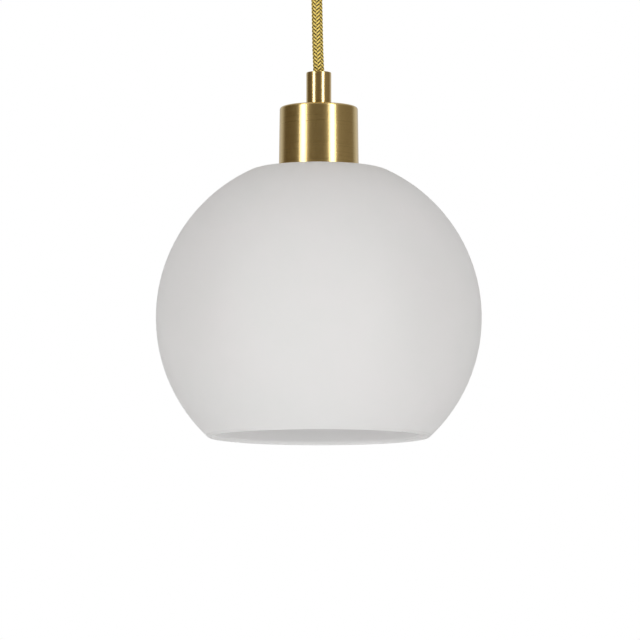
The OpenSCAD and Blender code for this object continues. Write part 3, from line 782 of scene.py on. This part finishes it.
class PENDANT_OT_holder(bpy.types.Operator):
    """Finish the lampholder and its cores"""

    bl_idname = "pendant.holder"
    bl_label = "Lampholder"

    pitch: size("Pitch", "Pitch of the skirt's thread", 0.0025)
    depth: size("Depth", "Depth of the skirt's thread", 0.0009)

    def execute(self, context):
        wear("holder_dome", "holder_skirt", "shade_ring", finish=moulded(
            "black_resin", (0.025, 0.025, 0.027), 0.32, 0.03))
        wear("holder_insert", finish=moulded(
            "porcelain", (0.85, 0.84, 0.80), 0.25, 0.3, Coat_Weight=0.6, Coat_Roughness=0.08))
        wear("canopy_live_core", "lamp_live_core", finish=moulded(
            "core_brown", (0.18, 0.08, 0.04), 0.4))
        wear("canopy_neutral_core", "lamp_neutral_core", finish=moulded(
            "core_blue", (0.05, 0.13, 0.45), 0.4))
        wear("canopy_earth_core", finish=earth_sleeve("core_earth_canopy", (0.27, 0.36, -0.89)))
        wear("lamp_earth_core", finish=earth_sleeve("core_earth_lamp", (1, 0, 0)))
        threaded("holder_skirt", "lamp_body", self.pitch, self.depth)
        return {"FINISHED"}


class PENDANT_OT_glass(bpy.types.Operator):
    """Finish the globe and its gaskets"""

    bl_idname = "pendant.glass"
    bl_label = "Glass"

    def execute(self, context):
        wear("glass_globe", finish=opal_glass(context.scene.pendant_glass))
        wear("cup_gasket", "ring_gasket", finish=moulded(
            "silicone", (0.75, 0.76, 0.76), 0.5, Subsurface_Weight=0.3))
        return {"FINISHED"}


class PENDANT_OT_lamp(bpy.types.Operator):
    """Finish the lamp"""

    bl_idname = "pendant.lamp"
    bl_label = "Lamp"

    pitch: size("Pitch", "Pitch of the screw cap's thread", 0.003629)
    depth: size("Depth", "Depth of the screw cap's thread", 0.00028)

    def execute(self, context):
        wear("bulb_tip", "bulb_cap", finish=plain_metal(
            "nickel", (0.72, 0.71, 0.68), (0.62, 0.61, 0.58), 0.22))
        threaded("bulb_cap", "bulb", self.pitch, self.depth)
        wear("bulb_insulator", finish=moulded("black_glass", (0.02, 0.02, 0.022), 0.15))
        wear("bulb_housing", finish=moulded("lamp_housing", (0.82, 0.82, 0.80), 0.3))
        wear("bulb_driver", finish=board("circuit_board", (0.03, 0.16, 0.07), (0.09, 0.30, 0.12)))
        wear("bulb_led_board", finish=board("led_board", (0.82, 0.82, 0.80), (0.66, 0.67, 0.67)))
        wear("bulb_leds", finish=moulded("led_phosphor", (0.85, 0.72, 0.2), 0.3))
        wear("bulb_globe", finish=moulded(
            "diffuser", (0.88, 0.88, 0.87), 0.4, 0.3, Subsurface_Weight=0.2))
        return {"FINISHED"}


class PENDANT_PT_panel(bpy.types.Panel):
    """The pendant's sizes, colours and pieces"""

    bl_label = "Pendant"
    bl_idname = "PENDANT_PT_panel"
    bl_space_type = "VIEW_3D"
    bl_region_type = "UI"
    bl_category = "Pendant"

    def draw(self, context):
        for name in SETTINGS:
            box = self.layout.box()
            group = getattr(context.scene, name)
            for key in group.__annotations__:
                box.prop(group, key)
        for operator in OPERATORS:
            self.layout.operator(operator.bl_idname)


SETTINGS = {
    "pendant_stage": StageSettings,
    "pendant_cord": CordSettings,
    "pendant_brass": BrassSettings,
    "pendant_glass": GlassSettings,
}
OPERATORS = [
    PENDANT_OT_stage, PENDANT_OT_cord, PENDANT_OT_brass, PENDANT_OT_fixings, PENDANT_OT_holder,
    PENDANT_OT_glass, PENDANT_OT_lamp,
]


def register():
    for made in (*SETTINGS.values(), *OPERATORS, PENDANT_PT_panel):
        bpy.utils.register_class(made)
    for name, group in SETTINGS.items():
        setattr(bpy.types.Scene, name, PointerProperty(type=group))


def unregister():
    for name in SETTINGS:
        delattr(bpy.types.Scene, name)
    for made in reversed((*SETTINGS.values(), *OPERATORS, PENDANT_PT_panel)):
        bpy.utils.unregister_class(made)


def main():
    register()
    for operator in OPERATORS:
        category, name = operator.bl_idname.split(".")
        getattr(getattr(bpy.ops, category), name)()


if __name__ == "__main__":
    main()
